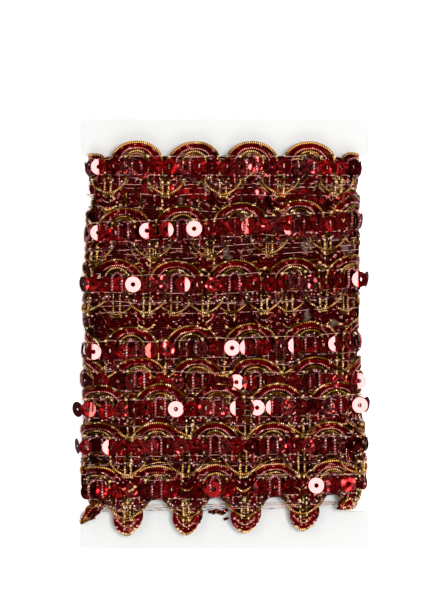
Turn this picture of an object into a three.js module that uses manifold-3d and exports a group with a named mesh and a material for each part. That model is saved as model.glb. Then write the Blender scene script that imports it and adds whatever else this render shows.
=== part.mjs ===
// Sequin trim wound flat on a card.
// A braid of gimp cords with a row of sequins, arched along its upper edge and pointed along its
// lower one, is wound in shingled turns round the waist of an H-shaped card, which lies on its back.
// Millimetres, +Z up, X across the card, Y along it. The origin is under the middle of the card.
import * as THREE from 'three';
import { mergeVertices } from 'three/addons/utils/BufferGeometryUtils.js';
import Module from 'manifold-3d';

const wasm = await Module();
wasm.setup();

// Card
const cardWidth = 108.6;
const cardLength = 161.4;
const cardThickness = 2.0;
const cardMidZ = 7.5;
const waistWidth = 93.0;
const flangeLength = 14.0;
const cardCorner = 1.8;
const cardClearance = 0.3;

// Section that the winding follows: a flat front and back joined by round sides
const flatHalf = 44.0;
const sideRadius = 7.0;
const sideLength = Math.PI * sideRadius;
const loopLength = 4 * flatHalf + 2 * sideLength;
const sideMiddle = flatHalf + sideLength / 2;

// Slack that makes the loops stand off at the two sides, at heights from the top down
const slackHeights = [65, 40, 15, -10, -25, -42, -60];
const slackLeft = [0.3, 1.7, 2.3, 2.8, 2.4, 2.2, 2.5];
const slackRight = [0, 0.2, 0.2, 0.7, 0.5, 2.1, 2.4];

// Covered turns underneath, as one sleeve
const sleeveRadius = 4.8;
const sleeveTop = 63.5;
const sleeveBottom = -58.5;
const rootRadius = 4.2;

// One repeat of the trim, across its width from the sequin row
const repeatLength = 21.6;
const archHalf = 9.6;
const archTop = 9.75;
const notchTop = 3.5;
const pointHalf = 6.3;
const pointTip = -17.2;
const shoulder = -5.5;
const pointRoot = -4.2;
const pointFullness = 1.8;
const sequinHalf = 3.0;

// Relief of the trim's face
const sequinRise = 0.35;
const edgeDrop = 0.5;
const shingleTilt = 0.02;
const edgeShare = 0.3;

// Front turns from the top down: height of the sequin row at each side, place of one arch,
// length of a repeat, and distance of the face from the card's middle plane
const frontTurns = [
  { yLeft: 62.4, yRight: 62.4, archX: -32.7, repeat: 21.5, lift: 6.7 },
  { yLeft: 37.3, yRight: 42.6, archX: -37.6, repeat: 21.75, lift: 6.5 },
  { yLeft: 18.6, yRight: 20.6, archX: -39.9, repeat: 21.9, lift: 7.0 },
  { yLeft: -6.9, yRight: -3.2, archX: -34.6, repeat: 22.25, lift: 6.0 },
  { yLeft: -17.4, yRight: -17.4, archX: -31.8, repeat: 21.8, lift: 6.6 },
  { yLeft: -28.3, yRight: -26.4, archX: -24.1, repeat: 21.9, lift: 7.2 },
  { yLeft: -42.2, yRight: -41.4, archX: -25.2, repeat: 21.5, lift: 7.6 },
  { yLeft: -58.3, yRight: -56.1, archX: -25.2, repeat: 21.9, lift: 6.6 },
];

// Where the length comes out from under the first turn and where its cut end lies, on the back
const leadIn = { y: 57.0, lift: 5.4 };
const cutEnd = { y: -59.0, lift: 6.6, from: 84.0 };

// On the back every turn is pressed to one level, so its sequin row lies flat on the surface
const pressedLift = 7.25;
const pressedFrom = 0.15;

// Outline stations in one repeat, as shares of it from the middle of a point
const frontStations = [0, 0.14, 0.28, 0.5];
const backStations = [0, 0.22, 0.3, 0.5];
const widestSideStep = 3.8;

const cardMaterial = new THREE.MeshStandardMaterial({ color: 0xf4f4f2, roughness: 0.85, metalness: 0 });
const trimMaterial = new THREE.MeshStandardMaterial({ color: 0x6b0d1c, roughness: 0.5, metalness: 0.2 });

// A closed geometry as a manifold solid, from its positions alone
function toSolid(geometry) {
  const bare = geometry.clone();
  bare.deleteAttribute('normal');
  bare.deleteAttribute('uv');
  const merged = mergeVertices(bare, 1e-5);
  const vertProperties = new Float32Array(merged.attributes.position.array);
  const triVerts = new Uint32Array(merged.index.array);
  return new wasm.Manifold(new wasm.Mesh({ numProp: 3, vertProperties, triVerts }));
}

function toGeometry(solid) {
  const mesh = solid.getMesh();
  const geometry = new THREE.BufferGeometry();
  geometry.setAttribute('position', new THREE.BufferAttribute(mesh.vertProperties, 3));
  geometry.setIndex(new THREE.BufferAttribute(mesh.triVerts, 1));
  return geometry;
}

// H outline of the card, grown all round by a margin
function cardOutline(margin) {
  const x = cardWidth / 2 + margin;
  const y = cardLength / 2 + margin;
  const waist = waistWidth / 2 + margin;
  const inner = cardLength / 2 - flangeLength - margin;
  const shape = new THREE.Shape();
  shape.moveTo(-x + cardCorner, -y);
  shape.lineTo(x - cardCorner, -y);
  shape.absarc(x - cardCorner, -y + cardCorner, cardCorner, -Math.PI / 2, 0);
  shape.lineTo(x, -inner - cardCorner);
  shape.absarc(x - cardCorner, -inner - cardCorner, cardCorner, 0, Math.PI / 2);
  shape.lineTo(waist, -inner);
  shape.lineTo(waist, inner);
  shape.lineTo(x - cardCorner, inner);
  shape.absarc(x - cardCorner, inner + cardCorner, cardCorner, -Math.PI / 2, 0);
  shape.lineTo(x, y - cardCorner);
  shape.absarc(x - cardCorner, y - cardCorner, cardCorner, 0, Math.PI / 2);
  shape.lineTo(-x + cardCorner, y);
  shape.absarc(-x + cardCorner, y - cardCorner, cardCorner, Math.PI / 2, Math.PI);
  shape.lineTo(-x, inner + cardCorner);
  shape.absarc(-x + cardCorner, inner + cardCorner, cardCorner, Math.PI, Math.PI * 1.5);
  shape.lineTo(-waist, inner);
  shape.lineTo(-waist, -inner);
  shape.lineTo(-x + cardCorner, -inner);
  shape.absarc(-x + cardCorner, -inner - cardCorner, cardCorner, Math.PI / 2, Math.PI);
  shape.lineTo(-x, -y + cardCorner);
  shape.absarc(-x + cardCorner, -y + cardCorner, cardCorner, Math.PI, Math.PI * 1.5);
  return shape;
}

function cardPlate(margin) {
  const depth = cardThickness + 2 * margin;
  const plate = new THREE.ExtrudeGeometry(cardOutline(margin), { depth, bevelEnabled: false, curveSegments: 4 });
  plate.translate(0, 0, cardMidZ - depth / 2);
  return plate;
}

// Point on the winding's section at a length along it and a distance from the card's middle.
// Length 0 is the middle of the front and grows to the right; nothing reaches below the floor.
function placeOnLoop(length, y, radius) {
  const around = THREE.MathUtils.euclideanModulo(length + flatHalf, loopLength) - flatHalf;
  const backStart = flatHalf + sideLength;
  const leftStart = backStart + 2 * flatHalf;
  let x = around;
  let z = radius;
  if (around > leftStart) {
    const angle = (around - leftStart) / sideRadius;
    x = -flatHalf - radius * Math.sin(angle);
    z = -radius * Math.cos(angle);
  } else if (around > backStart) {
    x = flatHalf - (around - backStart);
    z = -radius;
  } else if (around > flatHalf) {
    const angle = (around - flatHalf) / sideRadius;
    x = flatHalf + radius * Math.sin(angle);
    z = radius * Math.cos(angle);
  }
  return new THREE.Vector3(x, y, Math.max(0, cardMidZ + z));
}

// Moves a point beyond the flat of the winding outward by the slack at its height
function standOff(point) {
  const slack = point[0] < 0 ? slackLeft : slackRight;
  const y = THREE.MathUtils.clamp(point[1], slackHeights.at(-1), slackHeights[0]);
  const below = Math.max(1, slackHeights.findIndex((height) => height <= y));
  const share = (slackHeights[below - 1] - y) / (slackHeights[below - 1] - slackHeights[below]);
  const amount = THREE.MathUtils.lerp(slack[below - 1], slack[below], share);
  const beyond = THREE.MathUtils.smoothstep(Math.abs(point[0]), flatHalf, flatHalf + sideRadius);
  point[0] += Math.sign(point[0]) * amount * beyond;
}

// Upper edge: a round arch that falls to a notch beside it
function upperEdge(fromPoint) {
  const fromArch = (repeatLength / 2 - fromPoint) / archHalf;
  return notchTop + (archTop - notchTop) * Math.sqrt(Math.max(0, 1 - fromArch * fromArch));
}

// Lower edge: a rounded point with a shallow saddle between it and the next
function lowerEdge(fromPoint) {
  if (fromPoint < pointHalf) {
    const across = Math.pow(fromPoint / pointHalf, pointFullness);
    return shoulder + (pointTip - shoulder) * Math.pow(1 - across, 1 / pointFullness);
  }
  const saddle = (fromPoint - pointHalf) / (repeatLength / 2 - pointHalf);
  return THREE.MathUtils.lerp(shoulder, pointRoot, Math.sin(saddle * Math.PI / 2));
}

// A pass is half a turn, over the front or over the back, between the middles of the two sides
function frontPass(turn) {
  const arch = (length) => (length - turn.archX) / turn.repeat;
  return {
    start: -sideMiddle,
    end: sideMiddle,
    archStart: arch(-sideMiddle),
    archEnd: arch(sideMiddle),
    y: (share) => THREE.MathUtils.lerp(turn.yLeft, turn.yRight, share),
    lift: () => turn.lift,
    stations: frontStations,
  };
}

function backPass(from, to) {
  const span = loopLength / 2;
  const whole = Math.round(span / repeatLength - (to.archStart - from.archEnd));
  return {
    start: sideMiddle,
    end: sideMiddle + span,
    archStart: from.archEnd,
    archEnd: to.archStart + whole,
    y: (share) => THREE.MathUtils.lerp(from.y(1), to.y(0), THREE.MathUtils.smoothstep(share, 0, 1)),
    lift: (share) => {
      const pressed = THREE.MathUtils.smoothstep(0.5 - Math.abs(share - 0.5), 0, pressedFrom);
      const free = THREE.MathUtils.lerp(from.lift(1), to.lift(0), share);
      return THREE.MathUtils.lerp(free, pressedLift, pressed);
    },
    stations: backStations,
  };
}

// Shares of a pass where the outline has a corner, with more of them on the round sides
function passShares(pass) {
  const perShare = pass.archEnd - pass.archStart;
  const span = pass.end - pass.start;
  const nearEnd = 0.6 / span;
  const shares = [0, 1];
  for (let point = Math.floor(pass.archStart) - 0.5; point < pass.archEnd + 1; point += 1) {
    for (const station of pass.stations) {
      for (const side of station > 0 && station < 0.5 ? [-1, 1] : [1]) {
        const share = (point + side * station - pass.archStart) / perShare;
        if (share > nearEnd && share < 1 - nearEnd) shares.push(share);
      }
    }
  }
  shares.sort((a, b) => a - b);
  const onSide = (sideLength / 2) / span;
  return shares.flatMap((share, i) => {
    const next = shares[i + 1];
    const wide = next !== undefined && (next - share) * span > widestSideStep;
    return wide && (share < onSide || next > 1 - onSide) ? [share, (share + next) / 2] : [share];
  });
}

// Closed band of one pass: six rows of points over its face, two at its root, and two end caps
function bandSolid(pass) {
  const shares = passShares(pass);
  const rowCount = 8;
  const points = [];
  for (const share of shares) {
    const arch = THREE.MathUtils.lerp(pass.archStart, pass.archEnd, share);
    const fromPoint = Math.abs(arch - Math.floor(arch) - 0.5) * repeatLength;
    const low = lowerEdge(fromPoint);
    const high = upperEdge(fromPoint);
    const lift = pass.lift(share);
    const rows = [
      { across: low, radius: rootRadius },
      { across: low, radius: lift + shingleTilt * low - edgeDrop },
      { across: THREE.MathUtils.lerp(low, -sequinHalf, edgeShare), radius: lift + shingleTilt * low },
      { across: -sequinHalf, radius: lift + sequinRise },
      { across: sequinHalf, radius: lift + sequinRise },
      { across: THREE.MathUtils.lerp(high, sequinHalf, edgeShare), radius: lift + shingleTilt * high },
      { across: high, radius: lift + shingleTilt * high - edgeDrop },
      { across: high, radius: rootRadius },
    ];
    const length = THREE.MathUtils.lerp(pass.start, pass.end, share);
    for (const row of rows) points.push(placeOnLoop(length, pass.y(share) + row.across, row.radius));
  }
  const index = [];
  for (let column = 0; column + 1 < shares.length; column += 1) {
    for (let row = 0; row < rowCount; row += 1) {
      const a = column * rowCount + row;
      const b = column * rowCount + (row + 1) % rowCount;
      index.push(a, a + rowCount, b, b, a + rowCount, b + rowCount);
    }
  }
  const last = (shares.length - 1) * rowCount;
  for (let row = 1; row + 1 < rowCount; row += 1) {
    index.push(0, row, row + 1);
    index.push(last, last + row + 1, last + row);
  }
  const geometry = new THREE.BufferGeometry().setFromPoints(points);
  geometry.setIndex(index);
  return toSolid(geometry);
}

// Covered turns as a plain sleeve of the winding's section
function sleeveSolid() {
  const outline = new THREE.Shape();
  outline.absarc(flatHalf, 0, sleeveRadius, -Math.PI / 2, Math.PI / 2);
  outline.absarc(-flatHalf, 0, sleeveRadius, Math.PI / 2, Math.PI * 1.5);
  const depth = sleeveTop - sleeveBottom;
  const sleeve = new THREE.ExtrudeGeometry(outline, { depth, bevelEnabled: false, curveSegments: 12 });
  sleeve.rotateX(Math.PI / 2);
  sleeve.translate(0, sleeveTop, cardMidZ);
  return toSolid(sleeve);
}

// The whole winding in one solid: sleeve, front and back passes, cleared round the card
function windingSolid() {
  const fronts = frontTurns.map(frontPass);
  const leadStart = { archEnd: fronts[0].archStart - 5, y: () => leadIn.y, lift: () => leadIn.lift };
  const endStop = { archStart: fronts.at(-1).archEnd + 5, y: () => cutEnd.y, lift: () => cutEnd.lift };
  const backs = [leadStart, ...fronts].map((from, i) => backPass(from, fronts[i] ?? endStop));
  const lastBack = backs.at(-1);
  const cutShare = (cutEnd.from + sideLength / 2) / (loopLength / 2);
  const cut = {
    ...lastBack,
    end: THREE.MathUtils.lerp(lastBack.start, lastBack.end, cutShare),
    archEnd: THREE.MathUtils.lerp(lastBack.archStart, lastBack.archEnd, cutShare),
  };
  const bands = [...fronts, ...backs.slice(0, -1), cut].map(bandSolid);
  const joined = wasm.Manifold.union([sleeveSolid(), ...bands]).warp(standOff);
  return joined.subtract(toSolid(cardPlate(cardClearance)));
}

function makeCard() {
  const mesh = new THREE.Mesh(cardPlate(0), cardMaterial);
  mesh.name = 'card';
  return mesh;
}

function makeWoundTrim() {
  const mesh = new THREE.Mesh(toGeometry(windingSolid()), trimMaterial);
  mesh.name = 'wound_trim';
  return mesh;
}

const sequinTrim = new THREE.Group();
sequinTrim.add(makeCard(), makeWoundTrim());

export default sequinTrim;
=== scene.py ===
# Looks of a sequin trim wound flat on a white card: gimp cords, sequins, stitching threads and board.
import math

import bpy
import numpy as np
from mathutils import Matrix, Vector


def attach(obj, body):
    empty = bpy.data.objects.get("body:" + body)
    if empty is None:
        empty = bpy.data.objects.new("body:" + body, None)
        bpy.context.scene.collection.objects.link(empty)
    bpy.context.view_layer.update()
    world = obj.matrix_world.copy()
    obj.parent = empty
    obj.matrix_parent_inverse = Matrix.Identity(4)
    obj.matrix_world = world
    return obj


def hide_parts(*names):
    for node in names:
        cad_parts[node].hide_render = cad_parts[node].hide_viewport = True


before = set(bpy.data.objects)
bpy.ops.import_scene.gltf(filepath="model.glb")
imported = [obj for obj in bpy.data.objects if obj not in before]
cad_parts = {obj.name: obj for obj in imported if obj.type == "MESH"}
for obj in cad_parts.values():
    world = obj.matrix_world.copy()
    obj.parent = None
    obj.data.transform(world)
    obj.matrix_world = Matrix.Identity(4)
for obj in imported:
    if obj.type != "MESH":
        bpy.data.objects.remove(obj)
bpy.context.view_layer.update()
print("frame loaded")

mm = 0.001
fullCircle = 2 * math.pi

# The section that the trim is wound on, and the card inside it, in millimetres
winding = {
    "middle": 7.5,
    "flatHalf": 44.0,
    "sideRadius": 7.0,
    "shoulder": 66.7,
    "cardHalf": 1.0,
    "waistHalf": 46.5,
    "frontTilt": 0.02,  # how much the upper edge stands out beyond the lower one, for each millimetre across
    "backTilt": 0.045,
    "pressedLift": 6.95,  # distance of the back turns from the card's middle
    "usualLift": 6.7,  # distance of the first turn to which that belongs
    "pressedFrom": 0.15,  # share of a back pass over which it comes down to that
    "repeat": 21.6,
    "seat": 0.6,  # cord centres lie this far under the face
    "overFloor": 0.03,
    "clear": 0.1,  # air between the board and what passes it
}
# Slack of the loops at the two sides, at heights from the bottom up
slack = {
    "y": [-60, -42, -25, -10, 15, 40, 65],
    "left": [2.5, 2.2, 2.4, 2.8, 2.3, 1.7, 0.3],
    "right": [2.4, 2.1, 0.5, 0.7, 0.2, 0.2, 0],
}
sideLength = math.pi * winding["sideRadius"]
loopLength = 4 * winding["flatHalf"] + 2 * sideLength
sideMiddle = winding["flatHalf"] + sideLength / 2

# Turns that show, from the top down: height of the sequin row at each side, place of one arch, length of one
# repeat, distance of the face from the card's middle, and sag. The last rows are the ends on the back.
shownTurns = {
    "yLeft": [62.4, 37.3, 18.6, -6.9, -17.4, -28.3, -42.2, -58.3],
    "yRight": [62.4, 42.6, 20.6, -3.2, -17.4, -26.4, -41.4, -55.3],
    "archX": [-32.7, -37.6, -39.9, -34.6, -31.8, -24.1, -25.2, -25.2],
    "repeat": [21.5, 21.75, 21.9, 22.25, 21.8, 21.9, 21.5, 21.9],
    "lift": [6.7, 6.5, 7.0, 6.0, 6.6, 7.2, 7.6, 6.6],
    "sag": [0, 0.3, 1.1, 0.3, 0.6, 0.3, 0, 0.9],
    "legs": [-0.7, 0, 0, 0, 0, 0, 0, 0],  # how far the lacing stands out of its usual place
    # Painted light and shade on the cords, by turn: painted highlight on the rose one, painted shade on the
    # innermost of the arches, painted shade on all but gold in the lobes (painted highlight on the last
    # turn), and on the gold one along the arches and lobes painted highlight on the first and last turns,
    # painted shade on the others
    "roseHighlight": [0.9, 0.35, 0.3, 0.4, 0.5, 0.5, 0.4, 0.4],
    "heartShade": [0, -0.7, -0.6, -0.9, -0.3, -0.7, -0.5, -0.4],
    "lobeLightAndShade": [-0.6, -0.6, -0.5, -0.5, -0.6, -0.6, -0.6, 1.4],
    "edges": [0.9, -0.3, -0.15, -0.15, -0.15, -0.15, -0.1, 0.8],
    "startY": 57.0,
    "startLift": 5.4,
    "endY": -59.0,
    "endLift": 6.6,
    "endShare": 0.86,
}

# Covered turns, which show darkly between the points of the ones above
coveredTurns = {
    "yLeft": [61.4, 55.0, 35.5, 17.5, -31.0, -57.4],
    "yRight": [61.2, 50.5, 40.5, 19.2, -30.0, -55.2],
    "archX": [-33.2, -27.0, -38.6, -29.6, -36.0, -24.1],
    "repeat": [21.5, 21.6, 21.6, 21.6, 21.6, 21.9],
    "lift": [5.6, 5.4, 5.3, 5.4, 5.3, 5.4],
    "sag": 0,
    "legs": -0.8,
    "roseHighlight": 0,
    "heartShade": -0.9,
    "lobeLightAndShade": [-0.7, -0.7, -0.3, -0.3, -0.7, -0.7],
    "edges": 0,
    "startY": 50.0,
    "startLift": 5.3,
    "endY": -50.0,
    "endLift": 5.3,
    "endShare": 0.86,
}


def smoothStep(value):
    value = np.clip(value, 0, 1)
    return value * value * (3 - 2 * value)


def buildRoute(turns):
    # The whole length as columns against the arch number: place along the section, height of the sequin row,
    # distance from the card's middle, how far on to the back, and each turn's own looks. A front pass is
    # straight, a back pass eases from one turn's right end to the next one's left end.
    half = loopLength / 2
    count = len(turns["archX"])
    first = [(-sideMiddle - x) / p for x, p in zip(turns["archX"], turns["repeat"])]
    last = [(sideMiddle - x) / p for x, p in zip(turns["archX"], turns["repeat"])]
    natural = half / winding["repeat"]
    share = np.linspace(0, 1, 60, endpoint=False)
    ownKeys = ("legs", "roseHighlight", "heartShade", "lobeLightAndShade", "edges")
    columns = {key: [] for key in ("arch", "length", "y", "lift", "back") + ownKeys}
    fronts = []

    def addPass(archs, length, ys, lifts, back, turn=None):
        own = {key: 0 if turn is None else np.broadcast_to(turns[key], count)[turn]
               for key in ("sag",) + ownKeys}
        press = smoothStep((0.5 - np.abs(share - 0.5)) / winding["pressedFrom"]) * back
        ease = smoothStep(share) if back else share
        free = lifts[0] + (lifts[1] - lifts[0]) * share
        pressed = (winding["pressedLift"] - free) * press * turns["lift"][0] / winding["usualLift"]
        columns["arch"].append(archs[0] + (archs[1] - archs[0]) * share)
        columns["length"].append(length + half * share)
        columns["y"].append(ys[0] + (ys[1] - ys[0]) * ease - own["sag"] * np.sin(math.pi * share))
        columns["lift"].append(free + pressed)
        columns["back"].append(press)
        for key in ownKeys:
            columns[key].append(np.full_like(share, own[key]))

    lift, left, right = turns["lift"], turns["yLeft"], turns["yRight"]
    addPass((first[0] - natural, first[0]), -half - sideMiddle, (turns["startY"], left[0]),
            (turns["startLift"], lift[0]), 1)
    shift = 0
    for i in range(count):
        start = i * loopLength - sideMiddle
        addPass((shift + first[i], shift + last[i]), start, (left[i], right[i]), (lift[i], lift[i]), 0, i)
        fronts.append((shift + first[i], shift + last[i]))
        if i + 1 < count:
            whole = round(natural - (first[i + 1] - last[i]))
            addPass((shift + last[i], shift + whole + first[i + 1]), start + half, (right[i], left[i + 1]),
                    (lift[i], lift[i + 1]), 1)
            shift += whole
        else:
            addPass((shift + last[i], shift + last[i] + natural), start + half, (right[i], turns["endY"]),
                    (lift[i], turns["endLift"]), 1)
    route = {key: np.concatenate(value) for key, value in columns.items()}
    route["fronts"] = fronts
    route["lastTurn"] = (count - 1) * loopLength
    route["begin"] = first[0] - natural * 0.98
    route["finish"] = shift + last[-1] + natural * turns["endShare"]
    return route


def valueAt(route, key, arch):
    return np.interp(arch, route["arch"], route[key])


def placeOnLoop(length, y, radius):
    # Points on the section, and the direction out of it. The section is a flat front, a half circle down
    # each side and a flat back, all at one radius from a line through the card.
    around = np.mod(length + winding["flatHalf"], loopLength) - winding["flatHalf"]
    flat, backStart = winding["flatHalf"], winding["flatHalf"] + sideLength
    leftStart = backStart + 2 * flat
    angle = np.where(around > leftStart, math.pi + (around - leftStart) / winding["sideRadius"],
                     np.clip((around - flat) / winding["sideRadius"], 0, math.pi))
    centre = np.where(around > leftStart, -flat,
                      np.where(around > backStart, flat - (around - backStart), np.minimum(around, flat)))
    outward = np.stack([np.sin(angle), np.zeros_like(angle), np.cos(angle)], -1)
    spot = np.stack([centre, y, np.full_like(angle, winding["middle"])], -1) + outward * radius[..., None]
    return spot, outward


def standOff(spot):
    # Beyond the flat, points move outward by the slack at their height
    x, y = spot[..., 0], spot[..., 1]
    left, right = (np.interp(y, slack["y"], slack[side]) for side in ("left", "right"))
    beyond = smoothStep((np.abs(x) - winding["flatHalf"]) / winding["sideRadius"])
    x += np.where(x < 0, -left, right) * beyond


# The outermost edges, at the wide ends of the card: arches droop at the sides, the last point on the left
# hooks over the card's corner, and the last one on the right leans in and curls up. Spans, from and to are
# millimetres along the last turn, but the droop's are across the card.
ends = {
    "droop": {"above": 61.5, "share": 0.42, "from": 41, "ease": 9},
    "shoulder": {"gap": 0.2, "give": 30},
    "hook": {"span": (-69, -48), "below": -61, "reach": 16, "ease": 4, "inward": 4.0, "outward": 0.45,
             "shorter": 0.28, "height": 9.3, "thickness": 0.22},
    "lean": {"from": 39, "to": 68, "ease": (7, 8), "below": -58.5, "reach": 8, "share": 0.5},
    "curl": {"span": (44.5, 62), "below": -62.5, "radius": 2.6, "top": 14.5},
}


def crumpleEnds(spot, last, thickness):
    # Shapes the ends as above. Nothing passes the shoulders, and what crosses the level of the board goes
    # round the edge of its waist.
    x, y, z = (spot[..., axis] for axis in range(3))
    droop, shoulder, bent, lean, curl = (ends[key] for key in ("droop", "shoulder", "hook", "lean", "curl"))
    height = z.copy()
    depth = np.clip(bent["below"] - y, 0, bent["reach"])
    hooked = (last > bent["span"][0]) & (last < bent["span"][1])
    curled = (last > curl["span"][0]) & (last < curl["span"][1]) & (y < curl["below"])
    leaning = smoothStep((last - lean["from"]) / lean["ease"][0])
    leaning = leaning * smoothStep((lean["to"] - last) / lean["ease"][1])
    x -= leaning * lean["share"] * np.clip(lean["below"] - y, 0, lean["reach"])
    sideways = smoothStep((np.abs(x) - droop["from"]) / droop["ease"])
    y -= np.maximum(y - droop["above"], 0) * droop["share"] * sideways
    board = winding["cardHalf"] + thickness + winding["clear"]
    free = np.maximum(np.abs(height - winding["middle"]) - board, 0)
    limit = winding["shoulder"] - thickness - shoulder["gap"] + shoulder["give"] * free
    y[...] = np.where(hooked, y, np.clip(y, -limit, limit))
    hook = smoothStep(depth / bent["ease"]) * hooked
    x += hook * (bent["inward"] - bent["outward"] * depth)
    y += hook * bent["shorter"] * depth
    z += hook * (bent["height"] + bent["thickness"] * height - height)
    turned = np.maximum(curl["below"] - y, 0) / curl["radius"]
    y[...] = np.where(curled, curl["below"] - curl["radius"] * np.sin(turned), y)
    z += np.where(curled, np.minimum(curl["radius"] * (1 - np.cos(turned)), curl["top"] - z), 0)
    level = np.abs(z - winding["middle"]) < board
    edge = winding["waistHalf"] + thickness + winding["clear"]
    x[...] = np.where(level & (np.abs(x) < edge), np.copysign(edge, x), x)


def layOnWinding(route, arch, across, out, thickness):
    # Trim coordinates to space: arch number along the length, millimetres across from the sequin row, and
    # millimetres out of the band. Nothing sinks into the floor.
    length = valueAt(route, "length", arch)
    tilt = winding["frontTilt"] + (winding["backTilt"] - winding["frontTilt"]) * valueAt(route, "back", arch)
    radius = valueAt(route, "lift", arch) - winding["seat"] + tilt * across + out
    spot, outward = placeOnLoop(length, valueAt(route, "y", arch) + across, radius)
    standOff(spot)
    crumpleEnds(spot, length - route["lastTurn"], thickness)
    spot[..., 2] = np.maximum(spot[..., 2], thickness + winding["overFloor"])
    return spot, outward


# Cords of one repeat, from the middle of an arch to the middle of a point: millimetres along, across and
# out. Each one swings from an arch above the sequins to a loop below them, and the nesting turns inside out.
cordTable = {
    "edgeGold": {
        "along": [0, 3.4, 6.2, 8.2, 9.25, 9.55, 9.6, 9.6, 8.9, 7.9, 8.45, 9.6, 10.8],
        "across": [8.85, 8.35, 7.0, 5.1, 2.8, 0, -5, -10.0, -12.0, -13.6, -15.0, -16.1, -16.6],
        "out": [0.1, 0.1, 0.1, 0.1, -0.4, -0.9, 0.1, 0.1, -0.4, -0.4, -0.1, 0, 0],
        "finish": "gold", "radius": 0.56,
    },
    "outerBand": {
        "along": [0, 3.2, 5.9, 7.75, 8.5, 8.55, 8.1, 7.3, 6.45, 6.35, 7.0, 8.4, 10.8],
        "across": [7.95, 7.55, 6.35, 4.6, 2.5, 0, -4, -7.2, -9.4, -11.4, -13.2, -14.8, -15.7],
        "out": [0, 0, 0, 0, -0.4, -0.9, -0.1, -0.1, 0, 0.1, 0.1, 0.1, 0.1],
        "finish": "burgundy", "radius": 0.48,
    },
    "middleBand": {
        "along": [0, 2.8, 5.1, 6.75, 7.5, 7.55, 7.45, 7.2, 6.95, 7.2, 7.9, 9.0, 10.8],
        "across": [7.2, 6.8, 5.6, 4.0, 2.0, 0, -4, -7.6, -9.6, -11.3, -12.9, -14.1, -14.8],
        "out": [0, 0, 0, 0, -0.3, -0.8, 0, 0.1, 0.1, 0.1, 0.15, 0.15, 0.15],
        "finish": "burgundy", "radius": 0.5,
    },
    "innerBand": {
        "along": [0, 2.7, 4.7, 6.1, 6.7, 6.7, 6.6, 6.5, 7.2, 7.8, 8.9, 10.8],
        "across": [6.7, 6.3, 5.1, 3.4, 1.7, 0, -4, -8, -10.4, -11.8, -13.0, -13.8],
        "out": [0.25, 0.25, 0.2, 0, -0.4, -0.9, -0.1, -0.1, 0, 0, 0.05, 0.1],
        "finish": "rose", "radius": 0.4,
    },
    "innerGold": {
        "along": [0, 1.7, 3.15, 4.15, 4.5, 4.3, 4.05, 4.3, 5.9, 7.9, 9.4, 10.8],
        "across": [5.75, 5.45, 4.5, 3.0, 1.2, -1.5, -4, -6.0, -8.0, -9.4, -10.1, -10.3],
        "out": [0.2, 0.2, 0.2, 0.1, -0.5, -0.8, 0.1, 0.35, 0.55, 0.6, 0.6, 0.6],
        "finish": "gold", "radius": 0.5,
    },
    "lacing": {
        "along": [0, 0.9, 1.6, 1.8, 1.75, 1.85, 2.6, 4.4, 7.0, 10.8],
        "across": [4.1, 3.8, 3.0, 2.0, 0, -2.4, -3.9, -5.2, -6.0, -6.2],
        "out": [0.2, 0.35, 0.75, 1.15, 1.35, 1.0, 0.35, 0.4, 0.5, 0.5],
        "finish": "pink", "radius": 0.5,
    },
    "tipLoop": {
        "along": [0, 3.0, 5.4, 6.6, 7.4, 7.9, 8.5, 9.4, 10.8],
        "across": [-3.1, -3.2, -3.9, -5.4, -8, -10.3, -11.6, -12.3, -12.6],
        "out": [-0.7, -0.7, -0.7, -0.6, -0.5, -0.3, -0.1, 0, 0],
        "finish": "burgundy", "radius": 0.46,
    },
    "tipHeart": {
        "along": [0, 2.6, 4.6, 5.5, 6.4, 8.0, 9.4, 10.8],
        "across": [-2.2, -2.3, -3.2, -5.4, -7.8, -9.9, -11.0, -11.4],
        "out": [-0.9, -0.9, -0.9, -0.8, -0.6, -0.1, 0.1, 0.1],
        "finish": "gold", "radius": 0.42,
    },
    "archHeart": {
        "along": [0, 1.4, 2.5, 3.0, 3.0, 3.2, 4.6, 7.5, 10.8],
        "across": [4.95, 4.6, 3.6, 2.2, 0, -2.2, -3.3, -4.2, -4.6],
        "out": [-0.2, -0.2, -0.3, -0.5, -0.6, -0.8, -0.9, -0.9, -0.9],
        "finish": "gold", "radius": 0.45, "coarse": True,
    },
    "ground": {
        "along": [0, 4.4, 9.6, 10.2, 6.0, 5.3, 5.9, 9.7, 10.2, 6.8, 6.3, 6.9, 9.8, 10.3,
                  6.9, 6.8, 10.2, 10.3, 7.3, 7.4, 10.8],
        "across": [-3.4, -3.9, -4.3, -5.1, -5.5, -6.2, -6.8, -7.1, -7.8, -8.1, -8.8, -9.4, -9.7, -10.6,
                   -11.2, -12.0, -12.5, -13.2, -13.6, -14.3, -14.9],
        "out": [-0.9] * 21,
        "finish": "burgundy", "radius": 0.45, "coarse": True,
    },
}


def splineThrough(points, perSpan):
    # Smooth curve through the points, an even number of steps to each span. The weights are Catmull-Rom's.
    before = np.vstack([points[:1] * 2 - points[1:2], points[:-1]])
    after = np.vstack([points[1:], points[-1:] * 2 - points[-2:-1]])
    beyond = np.vstack([after[1:], after[-1:]])
    t = np.linspace(0, 1, perSpan, endpoint=False)[:, None]
    a, b, c, d = (p[:-1, None, :] for p in (before, points, after, beyond))
    curve = 0.5 * (2 * b + (c - a) * t + (2 * a - 5 * b + 4 * c - d) * t**2 + (3 * b - a - 3 * c + d) * t**3)
    return np.vstack([curve.reshape(-1, points.shape[1]), points[-1:]])


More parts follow.
